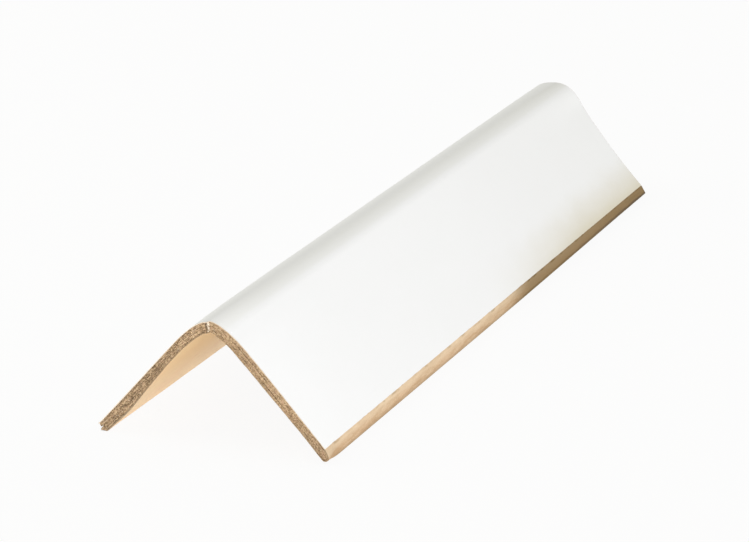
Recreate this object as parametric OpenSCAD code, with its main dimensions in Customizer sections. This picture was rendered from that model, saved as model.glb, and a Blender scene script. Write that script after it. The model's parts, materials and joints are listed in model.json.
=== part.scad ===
// Pallet edge protector: a laminated paperboard angle, folded lengthwise and cut to length.
// A white paper faces the outside, a stack of brown plies makes the core, and a kraft paper
// faces the inside and turns round both long edges. It rests on those two edges, fold up.
// The fold runs along Y, and the board is 305 mm long with legs 50 mm wide.

/* [Board] */
// Length of the board along the fold
board_l = 305; // [120:1:1200]
// Width of a leg on its outer face, from the sharp corner where the two outer faces would meet
leg_w = 50; // [40:1:100]
// Angle between the two legs
fold_angle = 83.4; // [78:0.1:95]
// Radius of the bend on the outside
bend_r = 8.8; // [7:0.1:14]

/* [Layers] */
// Thickness of the white paper on the outside
liner_t = 0.2; // [0.1:0.05:0.4]
// Thickness of one ply of the core
ply_t = 0.54; // [0.4:0.02:0.7]
// Number of plies in the core
ply_n = 5; // [4:1:7]
// Thickness of the kraft paper on the inside and round the edges
kraft_t = 0.3; // [0.15:0.05:0.4]

/* [Long edges] */
// How far the inner face runs past the outer face at the right edge
right_lead = 4.5; // [2:0.1:6]
// How far the inner face runs past the outer face at the left edge
left_lead = 1.5; // [0.5:0.1:2.5]
// Radius of the core's inner corner at the right edge
right_round = 0.2; // [0.1:0.05:0.4]
// Radius of the core's inner corner at the left edge, which is worn round
left_round = 1.3; // [0.3:0.1:1.4]

/* [Cut ends] */
// How far the left half of the near cut stands proud of the right half
near_step = 1.2; // [0:0.1:3]
// How far the alternate plies lie behind the cut
ply_setback = 0.25; // [0.1:0.05:0.6]
// Depth of the hollow that the far cut leaves in the right leg
scoop_depth = 4.3; // [1:0.1:6]
// Radius of that hollow
scoop_r = 93; // [60:1:120]
// Middle of that hollow, measured along the right leg's outer face from the sharp corner
scoop_at = 42; // [30:1:50]

/* [Split corner] */
// How far the split runs up the left leg at the near cut
split_depth = 1.9; // [0.5:0.1:4]
// Length of the split along the left edge
split_l = 14; // [5:1:30]
// Opening of the split at the edge
split_gap = 0.7; // [0.3:0.05:1]
// Number of plies outside the split
split_plies = 2; // [1:1:3]

/* [Hidden] */
$fn = 96;
arc_steps = 10;
white = [0.96, 0.96, 0.95];
brown = [0.66, 0.53, 0.38];
tan_kraft = [0.88, 0.77, 0.61];

// Radii of the layers' faces at the bend, from the outside in
core_out_r = bend_r - liner_t;
core_in_r = core_out_r - ply_n * ply_t;
inner_r = core_in_r - kraft_t;
board_t = bend_r - inner_r;

// The legs start where the bend ends
half_angle = fold_angle / 2;
bend_reach = bend_r / tan(half_angle);
flat_w = leg_w - bend_reach;

// Cut faces and the room that the blanks leave for them
near_y = -board_l / 2;
far_y = board_l / 2;
trim = 2;
blank_l = board_l + 2 * trim;
beyond = leg_w + right_lead + bend_r;

// An edge is described in its leg's own frame, with the distance from the bend's axis first and
// the way back up the leg second. The kraft's outer line slants from the outer to the inner face.
function slant_l(lead) = norm([board_t, lead]);
function worn(radius) = min(radius, 0.48 * ply_n * ply_t);
function corner(lead, radius) =
    [inner_r + radius, -flat_w - lead + radius * (lead + slant_l(lead)) / board_t];
function slant_start(lead, inset) =
    [core_out_r, -flat_w + (inset * slant_l(lead) - lead * liner_t) / board_t];
function round_edge(lead, radius, inset) =
    let (from = atan2(-board_t, lead))
    [for (i = [0:arc_steps])
        let (a = from + (-180 - from) * i / arc_steps)
        corner(lead, radius) + (radius - inset) * [cos(a), sin(a)]];
function reversed(points) = [for (i = [len(points) - 1:-1:0]) points[i]];

right_edge_r = worn(right_round) + kraft_t;
left_edge_r = worn(left_round) + kraft_t;

// The board leans until both round edges touch the surface that it rests on
function in_section(p) = [
    p[0] * cos(half_angle) - p[1] * sin(half_angle),
    p[0] * sin(half_angle) + p[1] * cos(half_angle)];
function mirrored(p) = [-p[0], p[1]];
right_edge = in_section(corner(right_lead, right_edge_r));
left_edge = mirrored(in_section(corner(left_lead, left_edge_r)));
between_edges = right_edge - left_edge;
lean = asin((right_edge_r - left_edge_r) / norm(between_edges))
    - atan2(between_edges[1], between_edges[0]);
function leaned(p) = [p[0] * cos(lean) - p[1] * sin(lean), p[0] * sin(lean) + p[1] * cos(lean)];
rest_z = leaned(right_edge)[1] - right_edge_r;
right_x = max(leaned(right_edge)[0] + right_edge_r, leaned(in_section([bend_r, -flat_w]))[0]);
left_x = min(leaned(left_edge)[0] - left_edge_r, leaned(mirrored(in_section([bend_r, -flat_w])))[0]);

module at_rest() {
    translate([-(right_x + left_x) / 2, 0, -rest_z]) rotate([0, -lean, 0]) children();
}

// Section of the folded board, with the bend's axis at the origin and the fold upward.
// Outlines run counterclockwise in the right leg's frame, and the left leg takes their mirror image.

right = 1;
left = -1;

function strip(r_out, r_in, width) = [[r_in, -width], [r_out, -width], [r_out, 0], [r_in, 0]];
function core_leg(lead, edge_r) = concat(
    [[core_in_r, 0]],
    reversed(round_edge(lead, edge_r, kraft_t)),
    [slant_start(lead, kraft_t), [core_out_r, 0]]);
function kraft_leg(lead, edge_r) = concat(
    [[core_in_r, 0], [inner_r, 0]],
    reversed(round_edge(lead, edge_r, 0)),
    [slant_start(lead, 0), slant_start(lead, kraft_t)],
    round_edge(lead, edge_r, kraft_t));

module leg_2d(side, outline) {
    if (side == right) rotate(half_angle) polygon(outline);
    else rotate(-half_angle) polygon(reversed([for (p = outline) mirrored(p)]));
}

// The circles turn with the right leg, so that they start on the line where it meets the bend
module bend_2d(r_out, r_in) {
    difference() {
        rotate(half_angle) circle(r_out);
        rotate(half_angle) circle(r_in);
        for (side = [right, left]) leg_2d(side, strip(beyond, -beyond, beyond));
    }
}

module liner_2d() {
    bend_2d(bend_r, core_out_r);
    for (side = [right, left]) leg_2d(side, strip(bend_r, core_out_r, flat_w));
}

module core_2d() {
    bend_2d(core_out_r, core_in_r);
    leg_2d(right, core_leg(right_lead, right_edge_r));
    leg_2d(left, core_leg(left_lead, left_edge_r));
}

module kraft_2d() {
    bend_2d(core_in_r, inner_r);
    leg_2d(right, kraft_leg(right_lead, right_edge_r));
    leg_2d(left, kraft_leg(left_lead, left_edge_r));
}

// One ply, wide enough to run past both edges
module ply_2d(i) {
    r_out = core_out_r - i * ply_t;
    bend_2d(r_out, r_out - ply_t);
    for (side = [right, left]) leg_2d(side, strip(r_out, r_out - ply_t, beyond));
}

// Lengths of board and the cuts in them

module along_fold() {
    rotate([90, 0, 0]) linear_extrude(blank_l, center = true) children();
}

module right_leg() {
    rotate([0, -half_angle, 0]) children();
}

module left_leg() {
    mirror([1, 0, 0]) rotate([0, -half_angle, 0]) children();
}

// What the near cut takes off: less from the left half than from the right
module near_offcut(setback) {
    translate([-beyond, near_y - 2 * trim, -beyond])
        cube([beyond, 2 * trim + setback, 2 * beyond]);
    translate([0, near_y - 2 * trim, -beyond])
        cube([beyond, 2 * trim + near_step + setback, 2 * beyond]);
}

// How deep the far cut's hollow is at a distance down the right leg's outer face
function hollow(s) = max(0, scoop_depth - scoop_r + sqrt(pow(scoop_r, 2) - pow(s - scoop_at, 2)));

// What the far cut takes off: square across the fold, and hollow across the right leg
module far_offcut(setback) {
    translate([-beyond, far_y - setback, -beyond])
        cube([2 * beyond, 2 * trim + setback, 2 * beyond]);
    right_leg() difference() {
        translate([inner_r - trim, far_y - scoop_depth + scoop_r, bend_reach - scoop_at])
            rotate([0, 90, 0]) cylinder(h = board_t + 2 * trim, r = scoop_r + setback);
        spared_edge(setback);
    }
}

// What the hollow spares: the slanted right edge, which runs out to the square end again
module spared_edge(setback) {
    hollow_y = far_y - hollow(leg_w) - setback;
    square_y = far_y - setback;
    low = -flat_w - right_lead;
    translate([inner_r - 2 * trim, 0, 0])
        rotate([90, 0, 90]) linear_extrude(board_t + 4 * trim)
        polygon([
            [hollow_y, -flat_w], [hollow_y - trim, -flat_w], [hollow_y - trim, low - trim],
            [square_y, low - trim], [square_y, low]]);
}

// The wedge that opens the left edge between two plies
module edge_split() {
    rake = atan(split_depth / split_l);
    left_leg()
        translate([core_out_r - split_plies * ply_t, near_y, -flat_w])
        rotate([-rake, 0, 0])
        translate([0, split_l + trim, 0])
        rotate([90, 0, 0]) linear_extrude(split_l + 3 * trim)
        polygon([[0, split_depth], [-split_gap, -split_depth], [split_gap / 2, -split_depth]]);
}

// Sub-parts

module white_liner() {
    color(white) at_rest() difference() {
        along_fold() liner_2d();
        near_offcut(0);
        far_offcut(0);
    }
}

module core_board() {
    color(brown) at_rest() difference() {
        along_fold() core_2d();
        near_offcut(0);
        far_offcut(0);
        edge_split();
        for (i = [1:2:ply_n - 1]) intersection() {
            along_fold() ply_2d(i);
            union() {
                near_offcut(ply_setback);
                far_offcut(ply_setback);
            }
        }
    }
}

module kraft_liner() {
    color(tan_kraft) at_rest() difference() {
        along_fold() kraft_2d();
        near_offcut(0);
        far_offcut(0);
        edge_split();
    }
}

white_liner();
core_board();
kraft_liner();
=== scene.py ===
import json
import math

import bpy
import numpy as np
from bpy.props import FloatProperty, FloatVectorProperty, IntProperty, PointerProperty
from bpy.types import Operator, Panel, PropertyGroup
from mathutils import Matrix, Vector


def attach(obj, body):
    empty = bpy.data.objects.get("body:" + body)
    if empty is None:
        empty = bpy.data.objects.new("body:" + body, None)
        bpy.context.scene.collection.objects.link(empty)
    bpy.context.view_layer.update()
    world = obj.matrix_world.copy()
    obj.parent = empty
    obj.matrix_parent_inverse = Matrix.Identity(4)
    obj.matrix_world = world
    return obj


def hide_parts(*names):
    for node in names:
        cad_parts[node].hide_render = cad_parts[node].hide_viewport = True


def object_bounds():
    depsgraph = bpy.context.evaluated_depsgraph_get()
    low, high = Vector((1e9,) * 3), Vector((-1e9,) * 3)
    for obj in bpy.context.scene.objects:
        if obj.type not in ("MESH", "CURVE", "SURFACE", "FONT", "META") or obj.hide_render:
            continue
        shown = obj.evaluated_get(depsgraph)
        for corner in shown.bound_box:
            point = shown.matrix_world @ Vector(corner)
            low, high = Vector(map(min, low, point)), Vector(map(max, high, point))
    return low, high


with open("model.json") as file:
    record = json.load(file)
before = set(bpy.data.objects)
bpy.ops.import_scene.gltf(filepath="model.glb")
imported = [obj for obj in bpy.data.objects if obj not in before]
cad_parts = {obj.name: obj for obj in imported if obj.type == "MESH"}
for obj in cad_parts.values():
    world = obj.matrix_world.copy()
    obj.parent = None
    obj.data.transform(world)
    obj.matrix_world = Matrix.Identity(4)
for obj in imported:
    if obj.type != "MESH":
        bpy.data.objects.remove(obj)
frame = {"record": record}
CAD_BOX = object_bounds()

bl_info = {
    "name": "Pallet edge protector",
    "version": (1, 0, 0),
    "blender": (4, 5, 0),
    "location": "3D View > Sidebar > Edge protector",
    "description": "Dresses a folded paperboard angle with papers, ragged plies and a soft studio",
    "category": "Object",
}

MM = 0.001
BODY = "root"
MOUNTS = {mount["name"]: mount for mount in frame["record"]["mounts"]}

# Faces that meet at a wider angle than this are drawn with a sharp edge between them
SHARP_ANGLE = math.radians(38)
# Width of the camera's sensor, in millimetres
SENSOR_WIDTH = 36
# Half of the floor's width, in metres
FLOOR_REACH = 6.0
# Specks of the cut fibre per metre, round the fold, along it and through the board
SPECKS = (2300, 2300, 2900)


# Properties

def length(name, description, millimetres):
    return FloatProperty(name=name, description=description, default=millimetres * MM,
                         unit="LENGTH", precision=5)


def angle(name, description, degrees):
    return FloatProperty(name=name, description=description, default=math.radians(degrees), subtype="ANGLE")


def share(name, description, value):
    return FloatProperty(name=name, description=description, default=value, min=0, max=1, subtype="FACTOR")


def power(name, description, watts):
    return FloatProperty(name=name, description=description, default=watts, min=0, unit="POWER")


def colour(name, description, rgb):
    return FloatVectorProperty(name=name, description=description, default=rgb, size=3,
                               min=0, max=1, subtype="COLOR")


class BoardSizes(PropertyGroup):
    """Sizes of the folded board that the frame's faces don't give."""

    leg_width: length("Leg width", "Outer face of a leg, from the sharp corner where both would meet", 50)
    bend_radius: length("Bend radius", "Radius of the bend on the outside", 8.8)
    liner: length("White paper", "Thickness of the white paper", 0.2)
    kraft: length("Kraft paper", "Thickness of the kraft paper", 0.3)
    plies: IntProperty(name="Plies", description="Plies in the core", default=5, min=1)
    right_lead: length("Right lead", "How far the inner face leads the outer one at the right edge", 4.5)
    left_lead: length("Left lead", "How far the inner face leads the outer one at the left edge", 1.5)
    right_round: length("Right round", "Radius of the core's inner corner at the right edge", 0.2)
    left_round: length("Left round", "Radius of the core's inner corner at the left edge", 1.3)
    near_step: length("Near step", "How far the left half of the near cut stands proud", 1.2)
    step_at: length("Step place", "Middle of the step's torn wall, round the fold from the crown", -0.6)
    step_run: length("Step run", "How far round the fold that torn wall runs", 0.45)
    setback: length("Ply setback", "How far the alternate plies lie behind the cut", 0.25)
    scoop_depth: length("Hollow depth", "Depth of the hollow in the right leg's far cut", 4.3)
    scoop_radius: length("Hollow radius", "Radius of that hollow", 93)
    scoop_at: length("Hollow middle", "Middle of that hollow, from the sharp corner", 42)
    split_depth: length("Split depth", "How far the split runs up the left leg", 1.9)
    split_length: length("Split length", "Length of the split along the left edge", 14)
    split_gap: length("Split gap", "Opening of the split at the edge", 0.7)
    split_plies: IntProperty(name="Split plies", description="Plies outside the split", default=2, min=1)


class PaperLooks(PropertyGroup):
    """Colours of the papers and the board."""

    white: colour("White paper", "Clean face of the white paper", (0.933, 0.933, 0.936))
    # Also laid as painted shade towards the far end and just right of the crown
    white_aged_and_shade: colour("Aged white", "White paper where it has yellowed a little", (0.84, 0.835, 0.78))
    white_cut: colour("White paper's cut", "Cut edge of the white paper", (0.42, 0.34, 0.25))
    # Painted shade: the cream laid on the white paper near the far half of its right edge
    cream: colour("Cream", "White paper where the long edge has soiled it", (0.71, 0.655, 0.51))
    kraft: colour("Kraft", "Face of the kraft paper", (0.88, 0.70, 0.475))
    kraft_pale: colour("Pale kraft", "Pale fibres and rubbed places of the kraft paper", (0.92, 0.77, 0.56))
    # Painted shade: the darker, deeper kraft laid inside the bend
    kraft_bend_shade: colour("Clean kraft", "Kraft paper inside the bend, free of wear", (0.74, 0.515, 0.26))
    kraft_pink: colour("Pink kraft", "Blotches of the kraft paper", (0.87, 0.66, 0.46))
    # Also laid as the painted shadow line along the white paper's right edge, and as mottles in the painted
    # shade of the kraft's right edge
    kraft_dark: colour("Dark kraft", "Dark fibres and worn places of the kraft paper", (0.50, 0.325, 0.18))
    # Painted shade: the dark brown laid over the far half of the kraft's right edge
    shaded: colour("Soiled kraft", "Kraft paper at the soiled end of the right edge", (0.195, 0.124, 0.044))
    board: colour("Board", "Cut face of the plies", (0.214, 0.138, 0.069))
    board_dark: colour("Dark board", "Pits, glue lines and shadows in the cut face", (0.075, 0.048, 0.025))
    board_pale: colour("Pale board", "Pale fibres in the cut face", (0.385, 0.28, 0.165))
    board_pink: colour("Pink board", "Reddish fibres in the cut face", (0.335, 0.205, 0.13))
    # At the step's torn wall this paleness is also a painted highlight
    torn: colour("Torn paper", "Fresh torn fibre at the step and in the cuts", (0.66, 0.56, 0.43))


class StageSettings(PropertyGroup):
    """Camera, lamps and floor."""

    azimuth: angle("Azimuth", "Camera's turn about the object, from looking along +Y", 19.698)
    elevation: angle("Elevation", "Camera's height over the floor", 16.735)
    roll: angle("Roll", "Camera's turn about its own line of sight", 2.241)
    distance: length("Distance", "From the camera to the point that it looks at", 1177.6)
    aim: FloatVectorProperty(name="Aim", description="Point that the camera looks at",
                             default=(-7.27 * MM, -5.30 * MM, 9.77 * MM),
                             subtype="TRANSLATION", precision=5)
    lens: FloatProperty(name="Lens", description="Focal length of the camera, in millimetres",
                        default=184.03, unit="CAMERA")
    front_power: power("Front", "Power of the low lamp in front, to the right", 172)
    top_power: power("Top lamp", "Power of the lamp above, to the left", 10.4)
    sky: FloatProperty(name="Sky", description="Strength of the even light from all round",
                       default=0.555, min=0)
    warm: colour("Warm light", "Colour of the even light and of the lamp above", (1.0, 1.0, 0.95))
    cool: colour("Cool light", "Colour of the lamp in front", (0.95, 0.955, 1.0))
    floor: colour("Floor", "Colour of the floor where it throws light on the object", (0.95, 0.95, 0.94))
    bleach: share("Bleach", "Share of plain white in what the camera sees of the floor", 0.92)


# Shader nodes

class Value:
    """A shader socket that takes part in Python sums, each of which adds a Math node."""

    def __init__(self, bench, socket):
        self.bench = bench
        self.socket = socket

    def combine(self, operation, first, second):
        """One Math node on two values or numbers."""
        return self.bench.add("ShaderNodeMath", {"operation": operation}, {0: first, 1: second})["Value"]

    def __add__(self, other):
        return self.combine("ADD", self, other)

    def __sub__(self, other):
        return self.combine("SUBTRACT", self, other)

    def __rsub__(self, other):
        return self.combine("SUBTRACT", other, self)

    def __mul__(self, other):
        return self.combine("MULTIPLY", self, other)

    __radd__ = __add__
    __rmul__ = __mul__


class Bench:
    """One node tree, and the method that adds every node to it."""

    def __init__(self, tree):
        self.tree = tree
        tree.nodes.clear()

    def add(self, kind, settings, sockets):
        """Adds a node, makes its settings, fills or links its sockets and returns its outputs by name."""
        node = self.tree.nodes.new(kind)
        for name, value in settings.items():
            setattr(node, name, value)
        for name, value in sockets.items():
            if isinstance(value, Value):
                self.tree.links.new(value.socket, node.inputs[name])
            else:
                node.inputs[name].default_value = value
        return {output.name: Value(self, output) for output in node.outputs if output.enabled}

    def sheet(self):
        """Places on the paper: round the fold, along it and through the board, in metres."""
        return self.add("ShaderNodeAttribute", {"attribute_name": "sheet"}, {})["Vector"]

    def hollow(self):
        """How deep a place lies in a cut face's pits, or 1 on a paper's cut edge."""
        return self.add("ShaderNodeAttribute", {"attribute_name": "hollow"}, {})["Fac"]

    def apart(self, vector):
        """The three parts of a vector as values."""
        parts = self.add("ShaderNodeSeparateXYZ", {}, {"Vector": vector})
        return parts["X"], parts["Y"], parts["Z"]

    def noise(self, vector, per_metre, detail=2.0, roughness=0.5):
        """Noise from 0 to 1 with its own scale round, along and through the board."""
        scaled = self.add("ShaderNodeVectorMath", {"operation": "MULTIPLY"}, {0: vector, 1: per_metre})
        return self.add("ShaderNodeTexNoise", {"noise_dimensions": "3D"}, {
            "Vector": scaled["Vector"], "Scale": 1.0, "Detail": detail, "Roughness": roughness})["Fac"]

    def ramp(self, value, start, end):
        """0 up to start and 1 from end, with a smooth step between."""
        return self.add("ShaderNodeMapRange", {"interpolation_type": "SMOOTHSTEP", "clamp": True},
                        {"Value": value, "From Min": start, "From Max": end})["Result"]

    def band(self, value, start, end, fade):
        """1 between start and end, fading to 0 outside them."""
        return self.ramp(value, start - fade, start) * (1 - self.ramp(value, end, end + fade))

    def mix(self, factor, first, second):
        """One colour laid over another by a factor."""
        # A Mix node's colours are its sockets 6 and 7, after those for numbers and vectors
        return self.add("ShaderNodeMix", {"data_type": "RGBA"},
                        {0: factor, 6: opaque(first), 7: opaque(second)})["Result"]

    def bump(self, height, distance, strength):
        """A normal that follows a height."""
        return self.add("ShaderNodeBump", {}, {
            "Height": height, "Distance": distance, "Strength": strength})["Normal"]

    def paper(self, base, roughness, normal, specular):
        """Closes a paper's tree with one shader."""
        shader = self.add("ShaderNodeBsdfPrincipled", {}, {
            "Base Color": base, "Roughness": roughness, "Normal": normal, "Specular IOR Level": specular})
        self.add("ShaderNodeOutputMaterial", {}, {"Surface": shader["BSDF"]})


def opaque(colour_value):
    """A plain colour with full alpha, or a colour socket as it is."""
    return colour_value if isinstance(colour_value, Value) else (*colour_value, 1.0)


def new_bench(name):
    """A new material and the bench of its node tree."""
    material = bpy.data.materials.new(name)
    material.use_nodes = True
    return material, Bench(material.node_tree)


def left_of_step(bench, board, around):
    """1 on the left half of the fold, up to the near cut's step, and 0 on the right half."""
    return 1 - bench.ramp(around - board.sizes.step_at, -0.3 * MM, 0.0)


def white_paper(board, looks):
    """Smooth white paper, yellowed a little in clouds, with painted shade towards the far end, right of the
    crown and along the far half of its right edge, and a painted shadow line along that edge.
    """
    material, bench = new_bench("white_paper")
    sheet = bench.sheet()
    around, along, _ = bench.apart(sheet)
    clouds = bench.noise(sheet, (110, 60, 110), detail=4, roughness=0.6)
    tooth = bench.noise(sheet, (2600, 1500, 2600), detail=3, roughness=0.6)
    patchy = bench.noise(sheet, (120, 60, 120), detail=3, roughness=0.55)
    shadow_dashes = bench.ramp(bench.noise(sheet, (300, 260, 300), detail=2), 0.56, 0.66)

    # Yellowed in faint clouds, and painted shade, darker and yellower, towards the far end and just right
    # of the crown
    toward_far_shade = bench.ramp(along, board.near + 150 * MM, board.far) * 0.1
    crown_shade = bench.band(around, start=1.6 * MM, end=4.2 * MM, fade=1.7 * MM) * 0.28
    paper = bench.mix(clouds * 0.10 + tooth * 0.03 + toward_far_shade + crown_shade, looks.white, looks.white_aged_and_shade)

    # Painted shade, tinted cream, from the right edge inward over the far end
    rear = bench.ramp(along, board.far - 165 * MM, board.far - 60 * MM)
    reach = around + (patchy - 0.5) * (5 * MM)
    wide = bench.ramp(reach, board.edge - 15 * MM, board.edge + 3 * MM)
    close = bench.ramp(around, board.edge - 3.2 * MM, board.edge + 0.2 * MM)
    shaded = bench.mix(rear * (wide * 0.8 + close * 0.14), paper, looks.cream)

    # A painted shadow line in dashes along the right edge itself, and brown on the cut edges
    long_edge = bench.ramp(around, board.edge - 0.12 * MM, board.edge - 0.02 * MM)
    rimmed = bench.mix(long_edge * shadow_dashes * 0.75, shaded, looks.kraft_dark)
    base = bench.mix(bench.hollow(), rimmed, looks.white_cut)
    bench.paper(base, roughness=clouds * 0.14 + 0.64,
                normal=bench.bump(tooth, distance=0.02 * MM, strength=0.35), specular=0.02)
    return material


def kraft_paper(board, looks):
    """Kraft paper with its fibres along the fold, blotched, darker inside the bend as painted shade, and
    worn on its right edge, which also carries painted shade and painted shadow.
    """
    material, bench = new_bench("kraft_paper")
    sheet = bench.sheet()
    around, along, depth = bench.apart(sheet)
    streaks = bench.noise(sheet, (700, 60, 700), detail=4, roughness=0.6)
    blotches = bench.noise(sheet, (150, 55, 150), detail=3, roughness=0.55)
    fibres = bench.noise(sheet, (2600, 700, 2600), detail=3, roughness=0.65)
    flecks = bench.ramp(bench.noise(sheet, (1100, 300, 1100), detail=1), 0.66, 0.76)
    mottles = bench.ramp(bench.noise(sheet, (720, 100, 900), detail=4, roughness=0.65), 0.35, 0.68)
    specks = bench.ramp(bench.noise(sheet, SPECKS, detail=2, roughness=0.6), 0.42, 0.6)
    spots = bench.ramp(bench.noise(sheet, (400, 150, 400), detail=3), 0.5, 0.7)

    # The face is streaked, blotched and flecked, with painted shade, darker and deeper in colour, inside
    # the bend
    pale = bench.mix(bench.ramp(streaks, 0.35, 0.75) * 0.7, looks.kraft, looks.kraft_pale)
    blotched = bench.mix(bench.ramp(blotches, 0.45, 0.65) * 0.8, pale, looks.kraft_pink)
    dark_fibres = flecks * 0.3 + bench.ramp(fibres, 0.45, 0.8) * 0.2
    flecked = bench.mix(dark_fibres, blotched, looks.kraft_dark)
    by_bend = bench.band(around, start=-16 * MM, end=9 * MM, fade=28 * MM)
    inside = bench.mix(by_bend * 0.75, flecked, looks.kraft_bend_shade)

    # The right edge is worn all along, most at its near tip, and rubbed pale in its upper part
    on_edge = bench.ramp(around, board.edge - 0.6 * MM, board.edge - 0.2 * MM)
    tip = 1 - bench.ramp(along, board.near, board.near + 40 * MM)
    wear = mottles * 0.3 + specks * 0.14 + tip * 0.15 + 0.6
    worn = bench.mix(on_edge * wear, inside, looks.kraft_dark)
    upper = on_edge * (1 - bench.ramp(depth, 0.5 * MM, 1.6 * MM))
    rubbed = bench.mix(upper * 0.35, worn, looks.kraft_pale)

    # That edge is darkened by painted shade over its far half and along its foot, and by painted shadow in
    # spots along its top, under the white paper's edge
    rear = bench.ramp(along + (blotches - 0.5) * (8 * MM), 2 * MM, 27 * MM)
    grey = bench.ramp(along, -35 * MM, 5 * MM)
    far = bench.ramp(along, 30 * MM, board.far)
    rim = on_edge * bench.ramp(depth, 1.8 * MM, 2.6 * MM)
    top_line = on_edge * (1 - bench.ramp(depth, 0.25 * MM, 0.5 * MM)) * spots
    far_shade = on_edge * (rear * (far * 0.14 + 0.72) + grey * 0.1)
    shade_marks = far_shade + rim * (rear * 0.25 + 0.4) + top_line * 0.4
    far_shaded = bench.mix(shade_marks, rubbed, looks.shaded)
    mottled = bench.mix(on_edge * rear * mottles * 0.1, far_shaded, looks.kraft_dark)
    foot = on_edge * bench.ramp(depth + mottles * (0.3 * MM), 1.75 * MM, 2.2 * MM)
    shaded = bench.mix(foot * (far * 0.6 + 0.1), mottled, looks.board_dark)

    # The cut edges are as brown as the board, and darker on the left half
    left_half = left_of_step(bench, board, around)
    cut = bench.mix(specks * (1 - left_half * 0.6), looks.board_dark, looks.board)
    base = bench.mix(bench.hollow() * 0.9, shaded, cut)
    height = fibres * 0.6 + streaks * 0.4
    bench.paper(base, roughness=streaks * 0.2 + 0.62,
                normal=bench.bump(height, distance=0.03 * MM, strength=0.5), specular=0.2)
    return material


def cut_board(board, looks):
    """Cut ends of the plies: specks and short streaks of old fibre, dark specks and painted shade in the
    pits, a painted shadow line under the white paper, and a dark glue line over the kraft.
    """
    material, bench = new_bench("cut_board")
    sizes = board.sizes
    sheet = bench.sheet()
    around, along, depth = bench.apart(sheet)
    specks = bench.noise(sheet, SPECKS, detail=2, roughness=0.6)
    streaks = bench.noise(sheet, (420, 300, 3000), detail=3, roughness=0.6)
    clumps = bench.noise(sheet, (620, 400, 900), detail=2)
    tints = bench.ramp(bench.noise(sheet, (1300, 1300, 1700), detail=1), 0.5, 0.62)
    shreds = bench.noise(sheet, (900, 900, 1500), detail=2)
    grainy = specks * 0.72 + streaks * 0.28
    left_half = left_of_step(bench, board, around)

    # Pale and reddish fibres
    pale = bench.mix(bench.ramp(grainy, 0.46, 0.58), looks.board, looks.board_pale)
    tinted = bench.mix(tints * 0.45, pale, looks.board_pink)

    # Pits: dark specks and clumps, and painted shade by each pit's depth, all darker on the left half
    gaps = 1 - bench.ramp(grainy, 0.38, 0.47)
    holes = bench.hollow() * 0.5 + gaps * 0.66 + bench.ramp(clumps, 0.5, 0.7) * 0.25
    pits = holes * (left_half * 0.3 + 0.7) + (1 - left_half) * 0.07

    # A painted shadow line under the white paper, and a line of glue over the kraft
    kraft_top = board.thickness - sizes.kraft
    under_white = 1 - bench.ramp(depth, sizes.liner, sizes.liner + 0.16 * MM)
    over_kraft = bench.ramp(depth, kraft_top - 0.3 * MM, kraft_top)
    shadow_and_glue = under_white * (left_half * 0.25 + 0.45) + over_kraft * (left_half * 0.1 + 0.25)

    # Darker feet and patches, and a paler stretch left of the crown
    feet = (1 - bench.ramp(around, -24 * MM, -10 * MM)) * 0.14 + bench.ramp(around, 30 * MM, 47 * MM) * 0.22
    low_patch = bench.band(around, start=-32 * MM, end=-22 * MM, fade=5 * MM) * 0.08
    pale_patch = bench.band(around, start=-17 * MM, end=-6 * MM, fade=4 * MM) * 0.06
    right_patch = bench.band(around, start=13 * MM, end=25 * MM, fade=6 * MM) * 0.06
    dark = pits + shadow_and_glue + feet + low_patch - pale_patch + right_patch
    cut = bench.mix(dark, tinted, looks.board_dark)

    # The step's torn wall, pale as torn fibre and with a painted highlight, a painted shadow beside it, and
    # painted shade in the crack where the left corner splits
    near_end = 1 - bench.ramp(along, board.near + 2.5 * MM, board.near + 12.5 * MM)
    from_step = around - sizes.step_at
    ragged = from_step + (shreds - 0.5) * (0.7 * MM)
    wall = bench.band(ragged, start=-0.14 * MM, end=0.22 * MM, fade=0.1 * MM) * near_end
    stepped = bench.mix(wall * bench.ramp(specks, 0.36, 0.6), cut, looks.torn)
    beside = bench.band(from_step, start=-0.6 * MM, end=-0.25 * MM, fade=0.2 * MM) * near_end
    shadow = beside * (bench.ramp(clumps, 0.3, 0.5) * 0.4 + 0.45)
    crack_at = sizes.liner + sizes.split_plies * board.ply
    crack = bench.band(depth, start=crack_at - 0.07 * MM, end=crack_at + 0.07 * MM, fade=0.1 * MM)
    corner = 1 - bench.ramp(around, -board.edge + 1.5 * MM, -board.edge + 5 * MM)
    base = bench.mix(shadow + crack * corner * 0.55, stepped, looks.board_dark)
    bench.paper(base, roughness=specks * 0.2 + 0.75,
                normal=bench.bump(grainy, distance=0.1 * MM, strength=0.6), specular=0.2)
    return material


def loose_fibre(looks):
    """Single fibres that stand out of the cuts."""
    material, bench = new_bench("loose_fibre")
    tone = bench.noise(bench.sheet(), (900, 900, 900), detail=1)
    base = bench.mix(bench.ramp(tone, 0.35, 0.65), looks.board, looks.torn)
    bench.paper(base, roughness=tone * 0.2 + 0.7,
                normal=bench.bump(tone, distance=0.02 * MM, strength=0.3), specular=0.2)
    return material


# Shape of the board

def face(name):
    """A mount's point and outward direction across the fold, as x and z."""
    mount = MOUNTS[name]
    return np.array(mount["pos_m"])[[0, 2]], np.array(mount["axis"])[[0, 2]]


def bell(value, middle, width):
    """1 at the middle, dying away on both sides."""
    return np.exp(-((value - middle) / width) ** 2)


def fading(distance, reach):
    """1 at no distance, dying away over a reach."""
    return np.exp(-distance / reach)


def rise(value, start, end):
    """0 up to start and 1 from end, with a smooth step between."""
    part = np.clip((value - start) / (end - start), 0, 1)
    return part * part * (3 - 2 * part)


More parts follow.
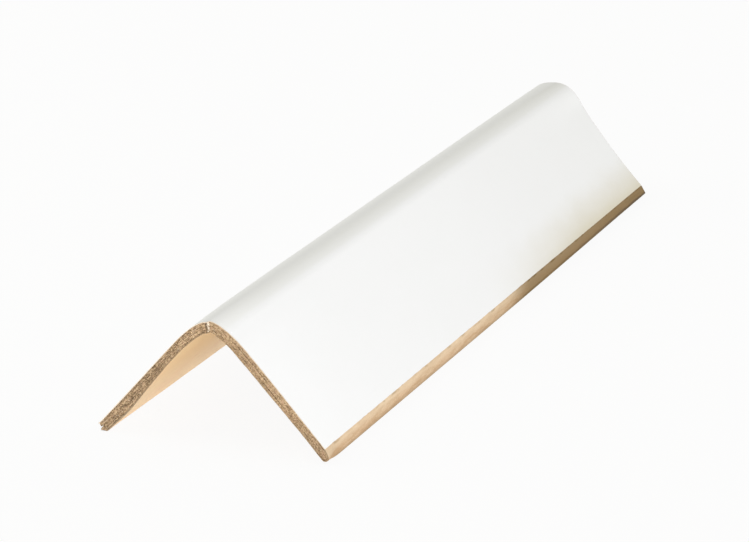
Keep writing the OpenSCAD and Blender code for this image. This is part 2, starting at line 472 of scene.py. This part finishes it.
class Board:
    """The folded board: across the fold from the frame's faces, and along it from the frame's box.

    A place on it is given by the way round the fold on the outer face, from the crown to the right,
    by the way along the fold, and by the depth below the outer face.
    """

    def __init__(self, sizes):
        self.sizes = sizes
        right_point, right_out = face("outer_right_face")
        left_point, left_out = face("outer_left_face")
        inner_point, _ = face("inner_right_face")
        radius = sizes.bend_radius
        self.thickness = (right_point - inner_point) @ right_out
        self.axis = np.linalg.solve([right_out, left_out],
                                    [right_out @ right_point - radius, left_out @ left_point - radius])
        self.crown = (right_out + left_out) / np.linalg.norm(right_out + left_out)
        self.side = np.array([self.crown[1], -self.crown[0]])
        self.half_turn = math.acos(right_out @ self.crown)
        self.half_arc = radius * self.half_turn
        self.corner_reach = radius * math.tan(self.half_turn)
        self.edge = self.half_arc + sizes.leg_width - self.corner_reach
        self.near = CAD_BOX[0].y
        self.far = CAD_BOX[1].y
        self.span = self.far - self.near
        self.ply = (self.thickness - sizes.liner - sizes.kraft) / sizes.plies

    def place(self, around, along, depth, outer_lobe):
        """Points of the board in the frame, in metres, for a layer outside or inside the split."""
        around, along, depth = np.broadcast_arrays(around, along, depth)
        height = self.bow(around, along) - self.swell(around, along) * depth
        height = height - depth - self.parting(around, along, outer_lobe)
        around = around + self.crush(around, along, depth)
        if not outer_lobe:
            around = around - self.fray(around, along, depth)
        radius = self.sizes.bend_radius
        turn = np.clip(around / radius, -self.half_turn, self.half_turn)[..., None]
        out = self.crown * np.cos(turn) + self.side * np.sin(turn)
        down = self.side * np.cos(turn) - self.crown * np.sin(turn)
        across = self.axis + (radius + height)[..., None] * out + (around[..., None] - turn * radius) * down
        return np.stack([across[..., 0], along, np.maximum(across[..., 1], 0)], -1)

    def from_near(self, along):
        """How far a place lies behind the near cut."""
        return np.maximum(along - self.near, 0)

    def bow(self, around, along):
        """How far the board stands out of its true form: pressed in, flared at the far cut, and wavy."""
        # Heights are in millimetres up to the last line
        near = fading(self.from_near(along), 16 * MM)
        deep = fading(self.from_near(along), 30 * MM)
        far = fading(np.maximum(self.far - along, 0), 22 * MM)
        left_press = 0.55 * bell(around, middle=-5.4 * MM, width=3.6 * MM)
        right_press = 1.05 * bell(around, middle=4.6 * MM, width=4.6 * MM)
        right_press += 0.18 * bell(around, middle=13 * MM, width=7 * MM)
        right_press += 0.2 * rise(around, 2 * MM, 10 * MM)
        flared = 0.45 * bell(around, middle=8.8 * MM, width=3.6 * MM)
        flared -= 0.55 * bell(around, middle=-0.8 * MM, width=4 * MM)
        wavy = 0.06 * np.sin(along / (23 * MM) + 0.7) * np.sin(around / (17 * MM) + 0.4)
        return (far * flared + wavy - near * left_press - deep * right_press) * MM

    def swell(self, around, along):
        """Share by which the board is thicker or thinner at the near cut."""
        thick = 0.2 * bell(around, middle=-37.5 * MM, width=7 * MM)
        thin = 0.12 * bell(around, middle=-17 * MM, width=7 * MM) + 0.15 * rise(around, 18 * MM, 42 * MM)
        return (thick - thin) * fading(self.from_near(along), 9 * MM)

    def crush(self, around, along, depth):
        """How far the right edge is pushed into its blunt near corner, and drawn in towards the far end."""
        sizes = self.sizes
        reach = around - self.edge
        full = self.edge_reach(depth, sizes.right_lead, sizes.right_round, inset=0)
        core = self.edge_reach(depth, sizes.right_lead, sizes.right_round, inset=sizes.kraft)

        # The blunt corner has half an ellipse for its outline, in millimetres
        least, most, middle, half_height = 0.25, 2.7, 2.0, 1.7
        rounded = np.sqrt(np.clip(1 - ((depth / MM - middle) / half_height) ** 2, 0, 1))
        blunt = (least + most * rounded) * MM
        start = 1.5 * MM
        taken = np.clip((reach + start) / (np.maximum(core, 0) + start), 0, 1) * (depth >= sizes.liner)
        at_corner = bell(self.from_near(along), middle=sizes.near_step, width=5 * MM)
        narrowed = 0.11 * np.maximum(reach, 0) * rise(along, 0, self.far)
        return (blunt - full) * taken * at_corner - narrowed

    def fray(self, around, along, depth):
        """How far the plies inside the split stand out at the left edge's near corner."""
        start = 2.5 * MM
        taken = np.clip((-around - self.edge + start) / start, 0, 1)
        proud = 0.5 * MM * bell(depth, middle=1.9 * MM, width=0.8 * MM)
        return proud * taken * bell(self.from_near(along), middle=0, width=4 * MM)

    def parting(self, around, along, outer_lobe):
        """How far the split at the left edge parts the layers outside and inside it."""
        sizes = self.sizes
        share_of_gap = -0.45 if outer_lobe else 0.25
        most_opened = 1.4
        runs = sizes.split_depth * np.clip(1 - self.from_near(along) / sizes.split_length, 0, 1)
        opened = np.clip((runs / 2 - around - self.edge) / sizes.split_depth, 0, most_opened) * (runs > 0)
        return opened * sizes.split_gap * share_of_gap

    def near_cut(self, around):
        """The near cut steps beside the crown, over a short torn wall."""
        sizes = self.sizes
        return self.near + sizes.near_step * np.clip((around - sizes.step_at) / sizes.step_run + 0.5, 0, 1)

    def far_cut(self, around):
        """The far cut is square across the fold and hollow across the right leg, up to its slanted edge."""
        sizes = self.sizes
        # The tip of the slanted edge runs past the square end
        tip_run = 2.1 * MM
        off = self.corner_reach + np.minimum(around, self.edge) - self.half_arc - sizes.scoop_at
        lift = sizes.scoop_radius - np.sqrt(np.maximum(sizes.scoop_radius ** 2 - off ** 2, 0))
        hollow = np.maximum(sizes.scoop_depth - lift, 0)
        spared = np.clip((around - self.edge) / sizes.right_lead, 0, 1)
        return self.far + tip_run * spared - np.where(around > self.half_arc, hollow, 0.0) * (1 - spared)

    def edge_reach(self, depth, lead, radius, inset):
        """How far a layer runs past the white paper's edge at each depth: a slant with a round foot."""
        slant = math.hypot(self.thickness, lead)
        edge_radius = radius + self.sizes.kraft
        foot = lead - edge_radius * (lead + slant) / self.thickness
        middle = self.thickness - edge_radius
        bend = edge_radius - inset
        straight = (lead * depth - inset * slant) / self.thickness
        rounded = foot + np.sqrt(np.maximum(bend ** 2 - (depth - middle) ** 2, 0))
        return np.where(depth < middle - bend * lead / slant, straight, rounded)


# Pieces

def stations(count, gather):
    """Shares from 0 to 1 that crowd towards both ends."""
    even = np.linspace(0, 1, count)
    return even - gather * np.sin(2 * np.pi * even) / (2 * np.pi)


def grain(rng, first, second, patch):
    """Smooth random relief from -1 to 1 over a grid, with patches of the given size."""

    def steps(values, size):
        at = (values - values.min()) / size
        cell = np.floor(at).astype(int)
        return cell, (1 - np.cos(np.pi * (at - cell))) / 2

    i, u = steps(first, patch[0])
    j, v = steps(second, patch[1])
    coarse = rng.uniform(-1, 1, (i.max() + 2, j.max() + 2))
    u, v = u[:, None], v[None, :]
    low = coarse[np.ix_(i, j)] * (1 - u) + coarse[np.ix_(i + 1, j)] * u
    high = coarse[np.ix_(i, j + 1)] * (1 - u) + coarse[np.ix_(i + 1, j + 1)] * u
    return low * (1 - v) + high * v


def ragged_line(rng, places, patch):
    """Smooth random relief from -1 to 1 along a line, as a grid of one column."""
    return grain(rng, places, np.zeros(1), (patch, 1.0))


def new_piece(name, points, faces, sheet, hollow, material):
    """A smooth mesh piece that carries its places on the paper and its pits."""
    mesh = bpy.data.meshes.new(name)
    mesh.from_pydata(points.tolist(), [], faces.tolist())
    places = mesh.attributes.new("sheet", "FLOAT_VECTOR", "POINT")
    places.data.foreach_set("vector", sheet.astype(np.float32).ravel())
    pits = mesh.attributes.new("hollow", "FLOAT", "POINT")
    pits.data.foreach_set("value", hollow.astype(np.float32))
    mesh.shade_smooth()
    mesh.set_sharp_from_angle(angle=SHARP_ANGLE)
    mesh.materials.append(material)
    piece = bpy.data.objects.new(name, mesh)
    bpy.context.scene.collection.objects.link(piece)
    return piece


def block_piece(name, points, sheet, hollow, material):
    """A closed piece from a grid of points that runs along, round and through it."""
    rows, columns, layers = points.shape[:3]
    index = np.arange(rows * columns * layers).reshape(rows, columns, layers)

    def quads(grid, turned):
        corners = [grid[:-1, :-1], grid[1:, :-1], grid[1:, 1:], grid[:-1, 1:]]
        faces = np.stack(corners, -1).reshape(-1, 4)
        return faces[:, ::-1] if turned else faces

    faces = np.concatenate([
        quads(index[:, :, 0], True), quads(index[:, :, -1], False),
        quads(index[:, 0, :], False), quads(index[:, -1, :], True),
        quads(index[0, :, :], True), quads(index[-1, :, :], False)])
    used, faces = np.unique(faces, return_inverse=True)
    return new_piece(name, points.reshape(-1, 3)[used], faces.reshape(-1, 4),
                     sheet.reshape(-1, 3)[used], hollow.reshape(-1)[used], material)


def seat(piece, node):
    """Puts a piece in the place of a solid."""
    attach(piece, BODY)
    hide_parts(node)


def columns_across(board, count):
    """Ways round the fold from edge to edge, with two columns at the ends of the step's torn wall."""
    around = np.linspace(-board.edge, board.edge, count)
    middle = int(np.searchsorted(around, board.sizes.step_at))
    half_run = board.sizes.step_run / 2
    around[middle - 1:middle + 1] = board.sizes.step_at + np.array([-half_run, half_run])
    return around


def cut_rows(shape):
    """Marks the first and last rows of a paper, which are its cut edges."""
    shadow_dashes = np.zeros(shape)
    shadow_dashes[[0, -1]] = 1
    return shadow_dashes


def make_white_liner(board, looks):
    """Lays the white paper over the outside, from one long edge to the other."""
    rng = np.random.default_rng(seed=11)
    around = columns_across(board, count=380)
    share_along = stations(count=96, gather=0.95)
    ragged = ragged_line(rng, around, patch=0.7 * MM)[:, 0] * 0.05 * MM
    start = board.near_cut(around) + ragged
    end = board.far_cut(around) + ragged[::-1]
    along = (start + (end - start) * share_along[:, None])[:, :, None]
    cockle = grain(rng, share_along * board.span, around, patch=(21 * MM, 9 * MM)) * 0.025 * MM
    depth = np.array([0.0, board.sizes.liner]) - cockle[:, :, None] * np.array([1.0, 0.0])
    points = board.place(around[None, :, None], along, depth, outer_lobe=True)
    sheet = np.stack(np.broadcast_arrays(around[None, :, None], along, depth), -1)
    hollow = cut_rows(points.shape[:3])
    piece = block_piece("white_liner_sheet", points, sheet, hollow, white_paper(board, looks))
    seat(piece, "white_liner")


def make_core_plies(board, looks):
    """Builds the plies one by one, with ragged ends and every second ply set back."""
    sizes = board.sizes
    material = cut_board(board, looks)
    rng = np.random.default_rng(seed=23)
    flat_around = columns_across(board, count=440)
    share_along = stations(count=15, gather=0.9)
    share_through = np.linspace(0, 1, 7)
    stretch = 8 * MM
    to_right = np.clip((flat_around - board.edge + stretch) / stretch, 0, 1)[:, None]
    to_left = np.clip((-flat_around - board.edge + stretch) / stretch, 0, 1)[:, None]

    # Relief of the cut ends in millimetres, rougher on the left half
    mean_pit, most_proud = 0.08, 0.06
    rough = np.where(flat_around < 0, 1.3, 0.85)[:, None]
    full_pit = 0.4 * MM

    for ply in range(sizes.plies):
        depth = sizes.liner + board.ply * (ply + share_through)
        right = board.edge_reach(depth, sizes.right_lead, sizes.right_round, sizes.kraft)
        left = board.edge_reach(depth, sizes.left_lead, sizes.left_round, sizes.kraft)
        around = flat_around[:, None] + right * to_right - left * to_left
        setback = sizes.setback * (ply % 2)
        cuts = []
        for _ in ("near", "far"):
            worn = rise(ragged_line(rng, flat_around, patch=6 * MM), -0.6, 0.8)
            relief = 0.10 * grain(rng, flat_around, depth, patch=(5 * MM, 0.16 * MM))
            relief += 0.12 * grain(rng, flat_around, depth, patch=(0.9 * MM, 0.3 * MM))
            relief += 0.07 * grain(rng, flat_around, depth, patch=(0.45 * MM, 0.13 * MM))
            cuts.append((setback * worn, np.maximum(relief + mean_pit, -most_proud) * rough * MM))
        (near_back, near_pits), (far_back, far_pits) = cuts
        start = board.near_cut(flat_around)[:, None] + (near_back + near_pits)
        end = board.far_cut(around) - (far_back + far_pits)
        along = start + (end - start) * share_along[:, None, None]
        points = board.place(around[None], along, depth, outer_lobe=ply < sizes.split_plies)
        sheet = np.stack(np.broadcast_arrays(around[None], along, depth), -1)
        hollow = np.zeros(points.shape[:3])
        hollow[0] = np.clip(near_pits / full_pit, 0, 1)
        hollow[-1] = np.clip(far_pits / full_pit, 0, 1)
        piece = block_piece(f"core_ply_{ply + 1}", points, sheet, hollow, material)
        seat(piece, "core_board")


def kraft_edge(board, lead, radius, inset, top, count):
    """Reach and depth down one long edge, from its top depth to where it meets the inner face."""
    bottom = board.thickness - inset
    depth = top + (bottom - top) * np.sin(np.linspace(0, np.pi / 2, count))
    return board.edge + board.edge_reach(depth, lead, radius, inset), depth


def make_kraft_liner(board, looks):
    """Lays the kraft paper over the inside and round both long edges, torn off at the split corner."""
    sizes = board.sizes
    rng = np.random.default_rng(seed=37)
    share_along = stations(count=110, gather=0.92)
    way_along = share_along * board.span
    whole = rise(way_along, 0, sizes.split_length)[:, None]
    past_split = 0.2 * MM
    left_top = sizes.liner + (1 - whole) * (sizes.split_plies * board.ply + past_split)
    inner_columns = 260
    faces = []
    for inset in (0.0, sizes.kraft):
        right, right_depth = kraft_edge(board, sizes.right_lead, sizes.right_round, inset,
                                        top=sizes.liner, count=34)
        left, left_depth = kraft_edge(board, sizes.left_lead, sizes.left_round, inset,
                                      top=left_top, count=26)
        right = np.broadcast_to(right, (len(share_along), len(right)))
        right_depth = np.broadcast_to(right_depth, right.shape)
        inner = np.linspace(right[:, -1], -left[:, -1], inner_columns, axis=1)[:, 1:-1]
        inner_depth = np.full(inner.shape, board.thickness - inset)
        around = np.concatenate([right, inner, -left[:, ::-1]], 1)
        depth = np.concatenate([right_depth, inner_depth, left_depth[:, ::-1]], 1)
        faces.append((around, depth))
    around, depth = (np.stack(pair, -1) for pair in zip(*faces))
    outer_around = around[..., 0]
    column_pitch = 0.3 * MM
    way_across = np.arange(outer_around.shape[1]) * column_pitch
    ragged = ragged_line(rng, way_across, patch=0.8 * MM)[:, 0] * 0.06 * MM
    start = board.near_cut(outer_around) + ragged
    end = board.far_cut(outer_around) - ragged[::-1]
    along = start + (end - start) * share_along[:, None]
    along = np.broadcast_to(along[:, :, None], around.shape)
    cockle = grain(rng, way_along, way_across, patch=(9 * MM, 3 * MM))
    depth = depth + cockle[:, :, None] * np.array([0.04 * MM, 0.0])
    points = board.place(around, along, depth, outer_lobe=False)
    sheet = np.stack([around, along, depth], -1)
    hollow = cut_rows(points.shape[:3])
    piece = block_piece("kraft_liner_sheet", points, sheet, hollow, kraft_paper(board, looks))
    seat(piece, "kraft_liner")


def make_cut_fibres(board, looks):
    """Stands short bent fibres out of both cuts, as four-sided strands."""
    rng = np.random.default_rng(seed=53)
    rings, sides = 5, 4
    near_count, far_count = 420, 260
    buried = 0.25 * MM
    edge_margin = 0.3 * MM
    paper_margin = 0.1 * MM
    widest = board.edge - edge_margin
    highest = board.sizes.liner + paper_margin
    lowest = board.thickness - board.sizes.kraft - paper_margin
    part = np.linspace(0, 1, rings)[None, :, None]
    turn = (np.arange(sides) * 2 * np.pi / sides)[None, None, :]
    strands, cuts = [], []
    for cut, outward, count in ((board.near_cut, -1, near_count), (board.far_cut, 1, far_count)):
        each = (count, 1, 1)
        around = rng.uniform(-widest, widest, each)
        depth = rng.uniform(highest, lowest, each)
        run = rng.gamma(shape=2.5, scale=0.13, size=each) * MM
        taper = 1 - 0.7 * part
        thick = rng.uniform(low=0.016, high=0.032, size=each) * MM * taper
        lean = rng.normal(scale=0.8, size=(2, *each)) * run * part
        curl = rng.normal(scale=0.5, size=(2, *each)) * run * part ** 2
        strand_around = around + lean[0] + curl[0] + thick * np.cos(turn)
        strand_depth = depth + lean[1] + curl[1] + outward * thick * np.sin(turn)
        strand_along = cut(around) + outward * ((run + buried) * part - buried)
        strands.append(board.place(strand_around, strand_along, strand_depth, outer_lobe=True))
        cuts.append(np.stack(np.broadcast_arrays(around, cut(around), depth, strand_around)[:3], -1))
    points = np.concatenate(strands)
    sheet = np.concatenate(cuts)
    index = np.arange(points[..., 0].size).reshape(points.shape[:3])
    ring = np.concatenate([index, index[:, :, :1]], 2)
    corners = [ring[:, :-1, :-1], ring[:, :-1, 1:], ring[:, 1:, 1:], ring[:, 1:, :-1]]
    walls = np.stack(corners, -1).reshape(-1, 4)
    faces = np.concatenate([walls, index[:, 0, ::-1], index[:, -1, :]])
    piece = new_piece("cut_fibres", points.reshape(-1, 3), faces, sheet.reshape(-1, 3),
                      np.zeros(index.size), loose_fibre(looks))
    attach(piece, BODY)


# Stage

def make_camera(stage):
    """A camera that stands where the photograph was taken from."""
    data = bpy.data.cameras.new("photo_camera")
    data.lens = stage.lens
    data.sensor_width = SENSOR_WIDTH
    camera = bpy.data.objects.new("photo_camera", data)
    bpy.context.scene.collection.objects.link(camera)
    turn = (Matrix.Rotation(stage.azimuth, 4, "Z")
            @ Matrix.Rotation(math.pi / 2 - stage.elevation, 4, "X")
            @ Matrix.Rotation(stage.roll, 4, "Z"))
    camera.matrix_world = Matrix.Translation(stage.aim) @ turn @ Matrix.Translation((0, 0, stage.distance))
    bpy.context.scene.camera = camera


def make_lamp(name, azimuth, elevation, distance, size, watts, tint):
    """A soft lamp that looks at the object, with its angles in degrees and its lengths in metres."""
    turn = math.radians(azimuth)
    height = math.radians(elevation)
    level = math.cos(height)
    place = Vector((math.sin(turn) * level, -math.cos(turn) * level, math.sin(height))) * distance
    data = bpy.data.lights.new(name, "AREA")
    data.shape = "RECTANGLE"
    data.size, data.size_y = size
    data.energy = watts
    data.color = tint
    lamp = bpy.data.objects.new(name, data)
    bpy.context.scene.collection.objects.link(lamp)
    lamp.location = place
    lamp.rotation_euler = (-place).to_track_quat("-Z", "Y").to_euler()


def seen_directly(bench):
    """1 where the surface is seen, also by reflection or through clear matter, and 0 where it lights."""
    path = bench.add("ShaderNodeLightPath", {}, {})
    seen = path["Is Camera Ray"] + path["Is Glossy Ray"] + path["Is Transmission Ray"]
    return bench.ramp(seen, 0.0, 1.0)


def make_floor(stage):
    """A pale floor that looks nearly white and keeps a faint shadow."""
    material, bench = new_bench("studio_floor")
    plain = bench.add("ShaderNodeBsdfDiffuse", {}, {"Color": opaque(stage.floor)})["BSDF"]
    white = bench.add("ShaderNodeEmission", {}, {"Color": (1, 1, 1, 1), "Strength": 1.0})["Emission"]
    bleached = seen_directly(bench) * stage.bleach
    both = bench.add("ShaderNodeMixShader", {}, {0: bleached, 1: plain, 2: white})
    bench.add("ShaderNodeOutputMaterial", {}, {"Surface": both["Shader"]})
    mesh = bpy.data.meshes.new("studio_floor")
    corners = [(x * FLOOR_REACH, y * FLOOR_REACH, 0) for x, y in ((-1, -1), (1, -1), (1, 1), (-1, 1))]
    mesh.from_pydata(corners, [], [(0, 1, 2, 3)])
    mesh.materials.append(material)
    floor = bpy.data.objects.new("studio_floor", mesh)
    bpy.context.scene.collection.objects.link(floor)


def make_sky(stage):
    """Even light from all round, which the camera sees as plain white."""
    world = bpy.data.worlds.new("studio_sky")
    world.use_nodes = True
    bench = Bench(world.node_tree)
    light = bench.add("ShaderNodeBackground", {}, {"Color": opaque(stage.warm), "Strength": stage.sky})
    white = bench.add("ShaderNodeBackground", {}, {"Color": (1, 1, 1, 1), "Strength": 1.0})
    both = bench.add("ShaderNodeMixShader", {}, {
        0: seen_directly(bench), 1: light["Background"], 2: white["Background"]})
    bench.add("ShaderNodeOutputWorld", {}, {"Surface": both["Shader"]})
    bpy.context.scene.world = world


def set_stage(stage):
    """Camera, floor, sky and both lamps."""
    make_camera(stage)
    make_floor(stage)
    make_sky(stage)
    make_lamp("front_lamp", azimuth=20, elevation=1.3, distance=3.2, size=(1.45, 0.12),
              watts=stage.front_power, tint=stage.cool)
    make_lamp("top_lamp", azimuth=-75, elevation=34, distance=1.8, size=(1.2, 1.2),
              watts=stage.top_power, tint=stage.warm)
    bpy.context.scene.view_settings.view_transform = "Standard"


# Operators and panel

class EDGEPROTECTOR_OT_white_liner(Operator):
    """Lay the white paper over the outside of the fold"""

    bl_idname = "edge_protector.white_liner"
    bl_label = "White liner"

    def execute(self, context):
        make_white_liner(Board(context.scene.board_sizes), context.scene.paper_looks)
        return {"FINISHED"}


class EDGEPROTECTOR_OT_core_plies(Operator):
    """Build the core's plies with their ragged cut ends"""

    bl_idname = "edge_protector.core_plies"
    bl_label = "Core plies"

    def execute(self, context):
        make_core_plies(Board(context.scene.board_sizes), context.scene.paper_looks)
        return {"FINISHED"}


class EDGEPROTECTOR_OT_kraft_liner(Operator):
    """Lay the kraft paper over the inside and round both long edges"""

    bl_idname = "edge_protector.kraft_liner"
    bl_label = "Kraft liner"

    def execute(self, context):
        make_kraft_liner(Board(context.scene.board_sizes), context.scene.paper_looks)
        return {"FINISHED"}


class EDGEPROTECTOR_OT_cut_fibres(Operator):
    """Stand loose fibres out of both cuts"""

    bl_idname = "edge_protector.cut_fibres"
    bl_label = "Cut fibres"

    def execute(self, context):
        make_cut_fibres(Board(context.scene.board_sizes), context.scene.paper_looks)
        return {"FINISHED"}


class EDGEPROTECTOR_OT_stage(Operator):
    """Set the camera, the lamps, the floor and the sky"""

    bl_idname = "edge_protector.stage"
    bl_label = "Stage"

    def execute(self, context):
        set_stage(context.scene.stage_settings)
        return {"FINISHED"}


class EDGEPROTECTOR_PT_sidebar(Panel):
    """Sizes, colours and steps of the edge protector"""

    bl_label = "Edge protector"
    bl_space_type = "VIEW_3D"
    bl_region_type = "UI"
    bl_category = "Edge protector"

    def draw(self, context):
        for step in STEPS:
            self.layout.operator(step.bl_idname)
        for group in (context.scene.board_sizes, context.scene.paper_looks, context.scene.stage_settings):
            box = self.layout.box()
            for name in group.__annotations__:
                box.prop(group, name)


GROUPS = {"board_sizes": BoardSizes, "paper_looks": PaperLooks, "stage_settings": StageSettings}
STEPS = (
    EDGEPROTECTOR_OT_stage,
    EDGEPROTECTOR_OT_white_liner,
    EDGEPROTECTOR_OT_core_plies,
    EDGEPROTECTOR_OT_kraft_liner,
    EDGEPROTECTOR_OT_cut_fibres,
)


def register():
    for kind in (*GROUPS.values(), *STEPS, EDGEPROTECTOR_PT_sidebar):
        bpy.utils.register_class(kind)
    for name, group in GROUPS.items():
        setattr(bpy.types.Scene, name, PointerProperty(type=group))


def unregister():
    for name in GROUPS:
        delattr(bpy.types.Scene, name)
    for kind in reversed((*GROUPS.values(), *STEPS, EDGEPROTECTOR_PT_sidebar)):
        bpy.utils.unregister_class(kind)


def main():
    register()
    bpy.ops.edge_protector.stage()
    bpy.ops.edge_protector.white_liner()
    bpy.ops.edge_protector.core_plies()
    bpy.ops.edge_protector.kraft_liner()
    bpy.ops.edge_protector.cut_fibres()


if __name__ == "__main__":
    main()
